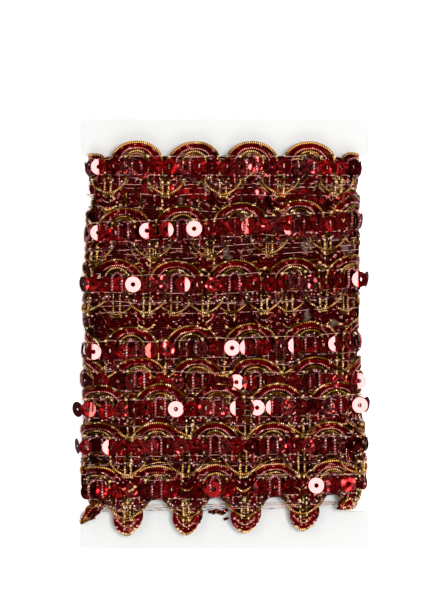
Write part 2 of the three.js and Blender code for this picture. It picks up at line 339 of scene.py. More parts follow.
def repeatOfCord(cord, step):
    # One whole repeat of a cord at even steps: share of the repeat, across and out. The half in the table is
    # mirrored about the middle of the point.
    half = np.stack([cord["along"], cord["across"], cord["out"]], -1).astype(float)
    other = half[-2::-1].copy()
    other[:, 0] = winding["repeat"] - other[:, 0]
    joined = np.vstack([half, other])
    led = np.vstack([joined[:1] - [2 * half[1, 0], 0, 0] + [half[1, 0], half[1, 1] - half[0, 1], 0], joined])
    dense = splineThrough(led, 24)[24:]
    run = np.concatenate([[0], np.cumsum(np.linalg.norm(np.diff(dense, axis=0), axis=1))])
    even = np.linspace(0, run[-1], round(run[-1] / step) + 1)[:-1]
    columns = [np.interp(even, run, dense[:, i]) for i in range(3)]
    return columns[0] / winding["repeat"], columns[1], columns[2]


# Random values to a repeat, how many of them lie before the first repeat, and in all
wobbleGrid = {"perRepeat": 3, "lead": 60, "count": 900}


def wobble(arch, seed, size):
    # Slow unevenness along the length: random values at even steps, eased between them
    values = np.random.default_rng(seed).normal(0, size, wobbleGrid["count"])
    place = arch * wobbleGrid["perRepeat"] + wobbleGrid["lead"]
    low = np.floor(place).astype(int)
    return values[low] + (values[low + 1] - values[low]) * smoothStep(place - low)


def gridQuads(count, sides, closed=False):
    # Quads between neighbouring sections of a swept outline, and from the last to the first if closed
    row, column = (grid.ravel() for grid in np.meshgrid(np.arange(count if closed else count - 1),
                                                        np.arange(sides), indexing="ij"))
    here, ahead, beside = row * sides, (row + 1) % count * sides, (column + 1) % sides
    return np.stack([here + column, here + beside, ahead + beside, ahead + column], -1)


def sweepCord(path, outward, radius, sides, wearAndPaintedLight=None):
    # A tube: at each point of the path, a ring of points in the plane across it, plus a point at each end.
    # UV runs round the cord and, in millimetres, along it. Wear and painted light is a value for each point
    # of the path.
    tangent = np.gradient(path, axis=0)
    tangent /= np.linalg.norm(tangent, axis=1)[:, None]
    side = np.cross(tangent, outward)
    side /= np.linalg.norm(side, axis=1)[:, None]
    up = np.cross(side, tangent)
    angle = np.arange(sides) / sides * fullCircle
    ring = side[:, None] * np.cos(angle)[None, :, None] + up[:, None] * np.sin(angle)[None, :, None]
    points = (path[:, None] + ring * radius).reshape(-1, 3)
    quads = gridQuads(len(path), sides)
    row, column = np.divmod(quads[:, 0], sides)
    along = np.concatenate([[0], np.cumsum(np.linalg.norm(np.diff(path, axis=0), axis=1))])
    u = np.stack([column, column + 1, column + 1, column], -1) / sides
    v = np.stack([along[row], along[row], along[row + 1], along[row + 1]], -1)
    step = np.arange(sides)
    first, last = len(points), len(points) + 1
    lastRing = first - sides
    caps = np.concatenate([
        np.stack([np.full(sides, first), (step + 1) % sides, step], -1),
        np.stack([np.full(sides, last), lastRing + step, lastRing + (step + 1) % sides], -1),
    ])
    points = np.vstack([points, path[:1], path[-1:]])
    capUv = np.zeros((len(caps), 3, 2))
    capUv[sides:, :, 1] = along[-1]
    part = {"points": points, "quads": quads, "tris": caps, "quadUv": np.stack([u, v], -1), "triUv": capUv}
    if wearAndPaintedLight is not None:
        part["values"] = {"wearAndPaintedLight": np.concatenate([np.repeat(wearAndPaintedLight, sides), wearAndPaintedLight[:1], wearAndPaintedLight[-1:]])}
    return part


def addObject(name, data):
    added = bpy.data.objects.new(name, data)
    bpy.context.scene.collection.objects.link(added)
    return added


def makePiece(name, parts, material, sharpAngle=None, smooth=True):
    # Joins parts into one mesh in metres that rides as trim. Each part has points, quads, tris and their UV,
    # and may have values for every point or every face.
    offsets = np.cumsum([0] + [len(part["points"]) for part in parts])
    points = np.vstack([part["points"] for part in parts]) * mm
    quads, tris = (np.vstack([part[key] + at for part, at in zip(parts, offsets)])
                   for key in ("quads", "tris"))
    uv = np.vstack([part[key].reshape(-1, 2) for key in ("quadUv", "triUv") for part in parts])
    mesh = bpy.data.meshes.new(name)
    mesh.vertices.add(len(points))
    mesh.vertices.foreach_set("co", points.astype(np.float32).ravel())
    corners = np.concatenate([quads.ravel(), tris.ravel()]).astype(np.int32)
    mesh.loops.add(len(corners))
    mesh.loops.foreach_set("vertex_index", corners)
    sizes = np.concatenate([np.full(len(quads), 4), np.full(len(tris), 3)])
    starts = np.concatenate([[0], np.cumsum(sizes)[:-1]]).astype(np.int32)
    mesh.polygons.add(len(sizes))
    mesh.polygons.foreach_set("loop_start", starts)
    mesh.uv_layers.new(name="lay").data.foreach_set("uv", uv.astype(np.float32).ravel())
    for key in parts[0].get("values", ()):
        values = np.concatenate([part["values"][key] for part in parts])
        domain = "POINT" if len(values) == len(points) else "FACE"
        mesh.attributes.new(key, "FLOAT", domain).data.foreach_set("value", values.astype(np.float32))
    mesh.update(calc_edges=True)
    if smooth:
        mesh.shade_smooth()
    else:
        mesh.shade_flat()
    if sharpAngle is not None:
        mesh.set_sharp_from_angle(angle=math.radians(sharpAngle))
    mesh.materials.append(material)
    piece = addObject(name, mesh)
    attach(piece, "root")
    return piece


def plainPart(points, quads, tris=np.zeros((0, 3), int)):
    # A part with no pattern laid along it, from points by form and corner: each form gets the same faces
    base = (np.arange(len(points)) * points.shape[1])[:, None, None]
    quads, tris = ((base + faces).reshape(-1, faces.shape[1]) for faces in (quads, tris))
    return {"points": points.reshape(-1, 3), "quads": quads, "tris": tris,
            "quadUv": np.zeros((len(quads), 4, 2)), "triUv": np.zeros((len(tris), 3, 2))}


def sweptPiece(name, points, material, closed):
    # A section of four corners carried along a line, as points by place and corner. It closes into a ring or
    # is capped at its two ends.
    last = (len(points) - 1) * 4
    quads = gridQuads(len(points), 4, closed)[:, [0, 3, 2, 1]]
    if not closed:
        quads = np.vstack([quads, [[0, 1, 2, 3]], [[last + 3, last + 2, last + 1, last]]])
    return makePiece(name, [plainPart(points.reshape(1, -1, 3), quads)], material, sharpAngle=40)


def linear(hexColour):
    # sRGB hex to linear colour
    value = np.array([int(hexColour[i:i + 2], 16) for i in (1, 3, 5)]) / 255
    low, high = value / 12.92, ((value + 0.055) / 1.055) ** 2.4
    return (*np.where(value <= 0.04045, low, high).tolist(), 1.0)


def addNode(tree, kind, inputs=None, **settings):
    # Adds a shader node, sets it up and joins or fills its inputs. A node given as an input stands for its
    # first output in use, and a text for its colour.
    node = tree.nodes.new("ShaderNode" + kind)
    for key, value in settings.items():
        setattr(node, key, value)
    for key, value in (inputs or {}).items():
        if isinstance(value, bpy.types.Node):
            value = next(output for output in value.outputs if output.enabled)
        if isinstance(value, bpy.types.NodeSocket):
            tree.links.new(value, node.inputs[key])
        else:
            node.inputs[key].default_value = linear(value) if isinstance(value, str) else value
    return node


def newMaterial(name):
    material = bpy.data.materials.new(name)
    material.use_nodes = True
    material.node_tree.nodes.clear()
    return material, material.node_tree


def finishMaterial(material, **inputs):
    tree = material.node_tree
    shader = addNode(tree, "BsdfPrincipled", {key.replace("_", " "): value for key, value in inputs.items()})
    addNode(tree, "OutputMaterial", {"Surface": shader})
    return material


# A mix node in colours: its factor and its two colours are these inputs
factor, low, high = 0, 6, 7
inColour = {"data_type": "RGBA"}
eased = {"interpolation_type": "SMOOTHSTEP"}


def gimpMaterial(name, look):
    # Gimp: metallised film wound in a close helix round a core thread. Its colour holds painted light and
    # shade:
    # the grooves between the windings get a dark painted shade, drawn a little wide so that it shows, pale
    # spots are painted glints, and the film runs from worn-and-shaded to bright with painted highlight and
    # shade in it.
    material, tree = newMaterial(name)
    lay = addNode(tree, "SeparateXYZ", {"Vector": addNode(tree, "UVMap", uv_map="lay")})
    turns = addNode(tree, "Math", {0: lay.outputs["Y"], 1: look["pitch"]}, operation="DIVIDE")
    phase = addNode(tree, "Math", {0: turns, 1: lay.outputs["X"]}, operation="ADD")
    cycle = addNode(tree, "Math", {0: phase, 1: fullCircle}, operation="MULTIPLY")
    wave = addNode(tree, "Math", {0: cycle}, operation="SINE")
    crest = addNode(tree, "MapRange", {0: wave, 1: -0.9, 2: 0.35}, **eased)
    place = addNode(tree, "TexCoord").outputs["Object"]
    uneven = addNode(tree, "TexNoise", {"Vector": place, "Scale": 420.0, "Detail": 2.0})
    patch = addNode(tree, "MapRange", {0: uneven, 1: 0.3, 2: 0.7, 3: look["lightAndWearLevel"] - 0.6,
                                       4: look["lightAndWearLevel"] + 0.6})
    # Random wear and painted light together pick the colour between the worn-and-shaded one and the bright
    # film
    wearAndPaintedLight = addNode(tree, "Attribute", attribute_name="wearAndPaintedLight").outputs["Fac"]
    lightAndWearLevel = addNode(tree, "Math", {0: wearAndPaintedLight, 1: patch}, operation="ADD")
    film = addNode(tree, "Mix", {factor: lightAndWearLevel, low: look["wornAndShaded"], high: look["film"]}, **inColour)
    # Below zero the colour goes on down to near-black: painted shade in the lobes, gaps and covered turns
    deepShadeMix = addNode(tree, "MapRange", {0: lightAndWearLevel, 1: -1.2, 2: 0.0})
    shade = addNode(tree, "Mix", {factor: deepShadeMix, low: "#180204", high: film}, **inColour)
    # Painted glints: pale spots of the glint colour where a fine noise is high
    glintSpotNoise = addNode(tree, "TexNoise", {"Vector": place, "Scale": 700.0, "Detail": 0.0})
    paintedGlint = addNode(tree, "MapRange", {0: glintSpotNoise, 1: look["paintedGlintFrom"], 2: look["paintedGlintFrom"] + 0.08})
    withPaintedGlints = addNode(tree, "Mix", {factor: paintedGlint, low: shade, high: look["paintedGlint"]}, **inColour)
    # Painted shade: between the crests of the windings the colour goes to the dark groove colour
    colour = addNode(tree, "Mix", {factor: crest, low: look["grooveShade"], high: withPaintedGlints}, **inColour)
    bump = addNode(tree, "Bump", {"Height": wave, "Strength": look["relief"], "Distance": 0.12 * mm})
    return finishMaterial(material, Base_Color=colour, Metallic=look["metallic"], Normal=bump,
                          Roughness=look["roughness"], Coat_Weight=look["coat"], Coat_Roughness=0.15)


# Each finish: bright film, worn-and-shaded colour, painted groove shade, twist pitch and relief, painted
# glint colour and where its glints start, metal, roughness, coat, and the centre of its patches of wear and
# painted light
gimpLooks = {
    "gold": {"film": "#e6b06c", "wornAndShaded": "#6c4410", "grooveShade": "#462a08", "pitch": 0.75, "relief": 0.25,
             "paintedGlint": "#fbe2b4", "paintedGlintFrom": 0.61,
             "metallic": 1.0, "roughness": 0.34, "coat": 0.0, "lightAndWearLevel": -0.25},
    "burgundy": {"film": "#84060d", "wornAndShaded": "#500309", "grooveShade": "#300205", "pitch": 0.6, "relief": 0.2,
                 "paintedGlint": "#d8766a", "paintedGlintFrom": 0.63,
                 "metallic": 1.0, "roughness": 0.32, "coat": 0.0, "lightAndWearLevel": 0.05},
    "rose": {"film": "#e09488", "wornAndShaded": "#60050e", "grooveShade": "#46040c", "pitch": 0.75, "relief": 0.3,
             "paintedGlint": "#f4c8c0", "paintedGlintFrom": 0.6,
             "metallic": 1.0, "roughness": 0.28, "coat": 0.1, "lightAndWearLevel": -0.4},
    "pink": {"film": "#e88a8c", "wornAndShaded": "#5c060e", "grooveShade": "#4c0a12", "pitch": 1.0, "relief": 0.4,
             "paintedGlint": "#f4c4c4", "paintedGlintFrom": 0.6,
             "metallic": 0.6, "roughness": 0.34, "coat": 0.1, "lightAndWearLevel": 0.0},
}
gimpMaterials = {key: gimpMaterial(key + "Gimp", look) for key, look in gimpLooks.items()}


def sequinMaterial():
    # Sequins: discs punched from burgundy foil under a clear polyester film. The film gives a white mirror
    # image of the lamp where it is unworn, the foil a red one. Tints differ, and slack discs are dented.
    material, tree = newMaterial("sequinFoil")
    tone, dents, film = (addNode(tree, "Attribute", attribute_name=key).outputs["Fac"]
                         for key in ("tone", "dents", "film"))
    place = addNode(tree, "TexCoord").outputs["Object"]
    dent = addNode(tree, "TexNoise", {"Vector": place, "Scale": 340.0, "Detail": 0.0})
    bump = addNode(tree, "Bump", {"Height": dent, "Strength": dents, "Distance": 0.24 * mm})
    colour = addNode(tree, "Mix", {factor: tone, low: "#300205", high: "#e41c20"}, **inColour)
    return finishMaterial(material, Base_Color=colour, Metallic=0.95, Roughness=0.12, Normal=bump,
                          Coat_Weight=film, Coat_Roughness=0.12, Coat_IOR=1.8, Coat_Normal=bump)


def sequinBackMaterial():
    # The dull side of a sequin: dark red lacquer on the back of the foil, seen where one is turned on edge
    material, tree = newMaterial("sequinLacquer")
    tone = addNode(tree, "Attribute", attribute_name="tone").outputs["Fac"]
    colour = addNode(tree, "Mix", {factor: tone, low: "#34020a", high: "#6a060e"}, **inColour)
    return finishMaterial(material, Base_Color=colour, Roughness=0.6, Specular_IOR_Level=0.05)


def threadMaterial():
    # Filament stitching thread: pinkish nylon with a soft sheen, broken by noise into pale stretches, which
    # are a painted highlight, and dark red ones, which stand for the red under it showing through
    material, tree = newMaterial("nylonThread")
    place = addNode(tree, "TexCoord").outputs["Object"]
    paleDashNoise = addNode(tree, "TexNoise", {"Vector": place, "Scale": 420.0, "Detail": 0.0})
    # Where the noise is high the thread is pale, a painted highlight on its pink
    clear = addNode(tree, "MapRange", {0: paleDashNoise, 1: 0.4, 2: 0.53})
    colour = addNode(tree, "Mix", {factor: clear, low: "#480a0e", high: "#e0b2a8"}, **inColour)
    return finishMaterial(material, Base_Color=colour, Roughness=0.4, Specular_IOR_Level=0.2)


def coreMaterial():
    # Covered turns deep under the shown ones, drawn on the sleeve: close wavy rows of burgundy gimp in
    # painted shadow, a painted pink glint here and there, and grey-brown patches painted as the card seen in
    # shadow through gaps
    material, tree = newMaterial("coveredGimp")
    place = addNode(tree, "TexCoord").outputs["Object"]
    rows = addNode(tree, "TexWave", {"Vector": place, "Scale": 340.0, "Distortion": 7.0, "Detail": 2.0,
                                     "Detail Scale": 1.1}, bands_direction="Y").outputs["Fac"]
    speck = addNode(tree, "TexNoise", {"Vector": place, "Scale": 800.0, "Detail": 1.0})
    paintedGlint = addNode(tree, "MapRange", {0: speck, 1: 0.62, 2: 0.7})
    patch = addNode(tree, "TexNoise", {"Vector": place, "Scale": 110.0, "Detail": 2.0})
    cardInShade = addNode(tree, "MapRange", {0: patch, 1: 0.65, 2: 0.7}, **eased)
    cords = addNode(tree, "Mix", {factor: rows, low: "#120102", high: "#62060c"}, **inColour)
    lit = addNode(tree, "Mix", {factor: paintedGlint, low: cords, high: "#c07a70"}, **inColour)
    colour = addNode(tree, "Mix", {factor: cardInShade, low: lit, high: "#86746a"}, **inColour)
    bump = addNode(tree, "Bump", {"Height": rows, "Strength": 0.8, "Distance": 0.4 * mm})
    return finishMaterial(material, Base_Color=colour, Metallic=0.3, Roughness=0.5, Normal=bump,
                          Specular_IOR_Level=0.1)


def tapeMaterial():
    # The tape under the sequins: matt black-red cloth, near-black as a painted shade in their holes and
    # between them
    material, tree = newMaterial("tapeCloth")
    place = addNode(tree, "TexCoord").outputs["Object"]
    weave = addNode(tree, "TexNoise", {"Vector": place, "Scale": 900.0, "Detail": 2.0})
    colour = addNode(tree, "Mix", {factor: weave, low: "#120102", high: "#46070b"}, **inColour)
    return finishMaterial(material, Base_Color=colour, Roughness=0.85, Specular_IOR_Level=0.05)


def boardMaterial():
    # Coated white board: matt clay coat with faint fibre mottling
    material, tree = newMaterial("coatedBoard")
    place = addNode(tree, "TexCoord").outputs["Object"]
    fibre = addNode(tree, "TexNoise", {"Vector": place, "Scale": 900.0, "Detail": 4.0})
    colour = addNode(tree, "Mix", {factor: fibre, low: "#e4e7e9", high: "#e9ecee"}, **inColour)
    bump = addNode(tree, "Bump", {"Height": fibre, "Strength": 0.15, "Distance": 0.05 * mm})
    return finishMaterial(material, Base_Color=colour, Roughness=0.62, Normal=bump)


def knotMaterial(name, colour):
    # Tight thread with a metallic strand: small, pale and bright; the pale bright colour is also a painted
    # glint
    return finishMaterial(newMaterial(name)[0], Base_Color=colour, Metallic=0.35, Roughness=0.3)


trimMaterials = {
    "sequin": sequinMaterial(), "sequinBack": sequinBackMaterial(), "thread": threadMaterial(),
    "core": coreMaterial(), "tape": tapeMaterial(),
    "goldKnot": knotMaterial("goldStitch", "#eccc92"), "pinkKnot": knotMaterial("roseStitch", "#ecb4ae"),
}
print("materials made")


# Where the stitching threads pull the cords in: millimetres across, over which width and how deep
stitchPull = {"levels": [3.65, -3.4, -7.0], "width": 0.7, "depth": 0.55}
# Where across the trim a finish gets painted highlight (amount above zero) or painted shade (below zero):
# level, width and amount
paintedLightBands = {"gold": [(-8, 1.6, 0.5), (-4, 1.2, -0.4)], "rose": [(4.2, 1.6, 0.4)]}


def bell(value, middle, width):
    return np.exp(-((value - middle) / width) ** 2)


def cordRun(route, name, cord, archs, quality):
    # One cord over a stretch of whole repeats, laid on the winding with its own slow unevenness. On the back
    # every second point is left out.
    if "coarse" in cord:
        quality = groundQuality
    share, across, out = repeatOfCord(cord, quality["step"])
    count = archs[1] - archs[0]
    arch = np.append((archs[0] + np.arange(count)[:, None] + share[None, :]).ravel(), archs[1])
    arch = np.clip(arch, route["begin"], route["finish"])
    across, out = (np.append(np.tile(column, count), column[0]) for column in (across, out))
    seed = sum(map(ord, name))
    drift = wobble(arch, seed, 0.08) + wobble(arch, 5, 0.2)
    shift = (wobble(arch, seed + 1, 0.09) + wobble(arch, 6, 0.14)) / winding["repeat"]
    pulled = sum(bell(across, level, stitchPull["width"]) for level in stitchPull["levels"])
    out = out + wobble(arch, 7, 0.2) - stitchPull["depth"] * pulled
    # Random wear along the cord; painted highlight and painted shade are added to it below
    wearAndPaintedLight = 0.5 + wobble(arch, seed + 2, 0.35)
    # Painted highlight and painted shade in bands across the trim
    for level, width, amount in paintedLightBands.get(cord["finish"], ()):
        wearAndPaintedLight += amount * bell(across, level, width)
    # Painted light on gold free of the sequins, by the turn's value: highlight on the first and last turns,
    # shade on the others
    if cord["finish"] == "gold":
        free = smoothStep((across - 4) / 2) + smoothStep((-11 - across) / 2)
        wearAndPaintedLight += free * valueAt(route, "edges", arch)
    else:
        # Painted shade in the lobes, and a painted highlight there on the last turn
        wearAndPaintedLight += smoothStep((-5.0 - across) / 2) * valueAt(route, "lobeLightAndShade", arch)
    if cord["finish"] == "rose":
        # Painted highlight on the rose cord
        wearAndPaintedLight += valueAt(route, "roseHighlight", arch)
    if name == "archHeart":
        # Painted shade on the innermost cord of the arches
        wearAndPaintedLight += valueAt(route, "heartShade", arch)
    if name == "lacing":
        out = out + valueAt(route, "legs", arch)
        # The lacing's legs get a painted highlight and its bottom a painted shade
        wearAndPaintedLight = smoothStep((across + 3.6) / 1.4) * (1.0 + wobble(arch * 2, seed, 0.55)) - 0.5
    spot, outward = layOnWinding(route, arch + shift, across + drift, out, cord["radius"])
    keep = np.concatenate([[True], np.linalg.norm(np.diff(spot, axis=0), axis=1) > 0.02])
    if quality["step"] < 1:
        keep[1:-1:2] &= valueAt(route, "back", arch[1:-1:2]) < 0.6
    return sweepCord(spot[keep], outward[keep], cord["radius"], quality["sides"], wearAndPaintedLight[keep])


def bandPieces(route, label, quality):
    # The cords of a winding, one piece for each finish and turn
    edges = [round(front[0]) for front in route["fronts"][1:]]
    edges = [math.floor(route["begin"])] + edges + [math.ceil(route["finish"])]
    for turn, archs in enumerate(zip(edges, edges[1:])):
        for finish, material in gimpMaterials.items():
            parts = [cordRun(route, key, cord, archs, quality) for key, cord in cordTable.items()
                     if cord["finish"] == finish]
            makePiece(f"{label}{turn + 1}_{finish}", parts, material)


shownRoute, coveredRoute = buildRoute(shownTurns), buildRoute(coveredTurns)
# Millimetres between the points of a cord, and sides round it
groundQuality = {"step": 1.3, "sides": 4}
bandPieces(shownRoute, "turn", {"step": 0.7, "sides": 6})
bandPieces(coveredRoute, "covered", {"step": 1.2, "sides": 4})
print("cords laid")


# Sequins: a flat ring with a small hole, sewn edge to edge along the middle of the trim. The stitch across
# each one creases it, so its two halves face slightly different ways.
sequin = {
    "radius": 2.95,
    "hole": 0.88,
    "thick": 0.1,
    "segments": 16,
    "spacing": 5.3,
    "out": 0.75,
    "tone": (0.17, 0.44),  # the darkest one, and how much redder the reddest is
    "dents": (0.4, 2.0),
    "sparkling": 0.25,  # share of them that are heavily dented under a clear film
    # The sequins far out at the sides get painted shade: a darker tone and no film
    "shadowFrom": 46,  # beyond this, in millimetres from the middle, they are dark and without film
    "shadowTone": 0.2,
}

# Sequins with a place of their own, by the lamp they face: turn, millimetres across the card, which side of
# them faces the lamp, and how much of the width that is
levelSequins = {
    "key": [
        (0, -47.4, "left", 0.5),
        (1, -47.4, "left", 0.45), (1, -28.8, "left", 0.6), (1, -21.8, "right", 0.3), (1, -11.2, "both", 1),
        (2, -33.9, "both", 1), (2, -15.6, "right", 0.32),
        (3, -49.0, "right", 0.6), (3, 2.9, "both", 1), (3, 8.6, "left", 0.3), (3, 26.6, "left", 0.35),
        (3, 41.6, "left", 0.45), (4, 4.5, "right", 0.75), (4, 9.6, "left", 0.2),
        (5, -18.0, "both", 1), (5, 5.0, "left", 0.35), (5, 12.2, "right", 0.8), (5, 18.3, "left", 0.3),
        (6, -42.4, "left", 0.4), (7, 13.6, "left", 0.2), (7, 34.2, "both", 1), (7, 40.6, "left", 0.2),
    ],
    "warm": [(1, 9.2, "left", 0.45), (3, -26.8, "left", 0.4), (7, 46.4, "right", 0.25)],
    "dim": [(7, -3.9, "both", 1)],
}
# Sequins that stick out past the flat of the winding. After those values, which lamp they face, or none, and
# how far they lean over, in degrees.
sideSequins = [
    (1, 51.2, "both", 1, "none", 66),
    (2, -52.9, "both", 1, "none", 63), (2, -49.4, "left", 0.2, "key", 20), (2, 50.4, "left", 0.4, "key", 10),
    (2, 53.2, "both", 1, "none", 62),
    (4, -52.3, "both", 1, "none", 62), (4, 50.2, "right", 0.6, "key", 15),
    (5, -54.9, "both", 1, "none", 50), (5, -50.6, "right", 0.4, "warm", 25), (5, 50.5, "both", 1, "key", 10),
    (5, 53.0, "both", 1, "none", 50),
    (6, -55.2, "both", 1, "none", 74), (6, -51.6, "left", 0.14, "warm", 28),
    (6, 53.4, "both", 1, "none", 74),
]
placedSequins = sorted(
    [row + (lamp, None) for lamp, rows in levelSequins.items() for row in rows] + sideSequins,
    key=lambda row: row[:2])
# How red, how dented and how well covered by its film a placed sequin is, where it faces its lamp and away.
# The redness given to each half is a painted tint of what that half mirrors.
placedLooks = {
    "key": {"tone": 0.1, "dents": 0.12, "film": 0.55},
    "warm": {"tone": 0.7, "dents": 0.6, "film": 1.0},
    "away": {"tone": 0.5, "dents": 0.8, "film": 0.2},
}

# Round softboxes: where they stand, angular radius, radiance, and how many degrees off the mirror facing to
# them the sequins without a place of their own are kept
lamps = {
    "key": {"azimuth": 110.0, "fromVertical": 17.0, "distance": 1.5, "spread": 11.0, "radiance": 14.0,
            "keptOff": 12, "colour": (1.0, 0.975, 0.94)},
    "warm": {"azimuth": 245.0, "fromVertical": 34.0, "distance": 1.4, "spread": 8.0, "radiance": 4.0,
             "keptOff": 13, "colour": (1.0, 0.86, 0.74)},
    "low": {"azimuth": 10.0, "fromVertical": 38.0, "distance": 1.4, "spread": 9.0, "radiance": 4.6,
            "keptOff": 11, "colour": (1.0, 0.97, 0.94)},
    "dim": {"azimuth": 200.0, "fromVertical": 42.0, "distance": 1.4, "spread": 8.0, "radiance": 1.2,
            "keptOff": 8, "colour": (1.0, 0.9, 0.84)},
}


def towards(lamp):
    tilt, turn = math.radians(lamp["fromVertical"]), math.radians(lamp["azimuth"])
    return np.array([math.sin(tilt) * math.sin(turn), -math.sin(tilt) * math.cos(turn), math.cos(tilt)])


view = {"pixel": 0.375, "width": 440, "height": 608, "centreX": -1.6, "centreY": 11.1, "plane": 9.5,
        "lens": 100.0, "sensor": 36.0}
viewDistance = view["pixel"] * view["height"] / view["sensor"] * view["lens"]
eye = np.array([view["centreX"], view["centreY"], view["plane"] + viewDistance])


def unit(vector):
    return vector / np.linalg.norm(vector, axis=-1, keepdims=True)


sideReach = 10  # how far the bent sides stand out past the flat, slack included


def sequinPlaces(route):
    # Arch numbers of the sequins: on each front pass they are spaced out between the ones in the table, and
    # on the back they follow at one spacing. Beside them, which row of the table each one is, or -1.
    rng = np.random.default_rng(11)
    places, rows = [], []
    starts = [front[0] for front in route["fronts"]] + [route["finish"]]
    step = sequin["spacing"] / winding["repeat"]
    lead = np.arange(route["begin"] + step, starts[0] - step, step)
    places.append(lead)
    rows.append(np.full(len(lead), -1))
    for turn, front in enumerate(route["fronts"]):
        marks = [(front[0] - step, -1)]
        for row, (which, x, *_) in enumerate(placedSequins):
            if which == turn:
                beyond = max(0, abs(x) - winding["flatHalf"])
                bent = abs(x) - beyond + math.asin(min(1, beyond / sideReach)) * winding["sideRadius"]
                length = math.copysign(bent, x) + turn * loopLength
                marks.append((np.interp(length, route["length"], route["arch"]), row))
        marks.append((starts[turn + 1] - 2 * step, -1))
        for (a, row), (b, _) in zip(marks, marks[1:]):
            count = max(1, round((b - a) / step))
            places.append(a + (b - a) * np.arange(count) / count)
            rows.append(np.concatenate([[row], np.full(count - 1, -1)]))
    places, rows = np.concatenate(places), np.concatenate(rows).astype(int)
    return places + rng.normal(0, 0.012, len(places)) * (rows < 0), rows


def keepOff(normal, mirror, degrees):
    # Turns a facing that lies too near the mirror facing away from it, to that many degrees
    near = (normal * mirror).sum(1, keepdims=True)
    apart = unit(normal - mirror * near + 1e-6)
    moved = mirror * math.cos(math.radians(degrees)) + apart * math.sin(math.radians(degrees))
    return np.where(near > math.cos(math.radians(degrees)), moved, normal)


def sequinFacings(rows, spot, outward, along, side, rng):
    # The facing of the left and the right half of every sequin: most lean a little and are creased by
    # chance, and stay off the mirror facing to any lamp. Placed ones mirror their lamp.
    count = len(rows)
    tip, heading = np.abs(rng.normal(0, 9, count)) + 3, rng.uniform(0, fullCircle, count)
    sway = along * np.cos(heading)[:, None] + side * np.sin(heading)[:, None]
    lean = np.tan(np.radians(tip))[:, None] * sway
    crease = np.tan(np.radians(rng.normal(0, 6, count)))[:, None] * along
    left, right = unit(outward + lean + crease), unit(outward + lean - crease)
    toEye = unit(eye - spot)
    mirrors = {key: unit(toEye + towards(lamp)) for key, lamp in lamps.items()}
    for key in ("warm", "low", "dim", "key"):
        left, right = (keepOff(half, mirrors[key], lamps[key]["keptOff"]) for half in (left, right))
    mirrors["none"] = unit(outward + along * 0.1 - side * 0.12)
    for index in np.flatnonzero(rows >= 0):
        _, _, half, _, lamp, _ = placedSequins[rows[index]]
        at = mirrors[lamp][index]
        away = unit(at - along[index] * 0.3) if half == "left" else unit(at + along[index] * 0.3)
        left[index] = at if half in ("left", "both") else away
        right[index] = at if half in ("right", "both") else away
    return left, right


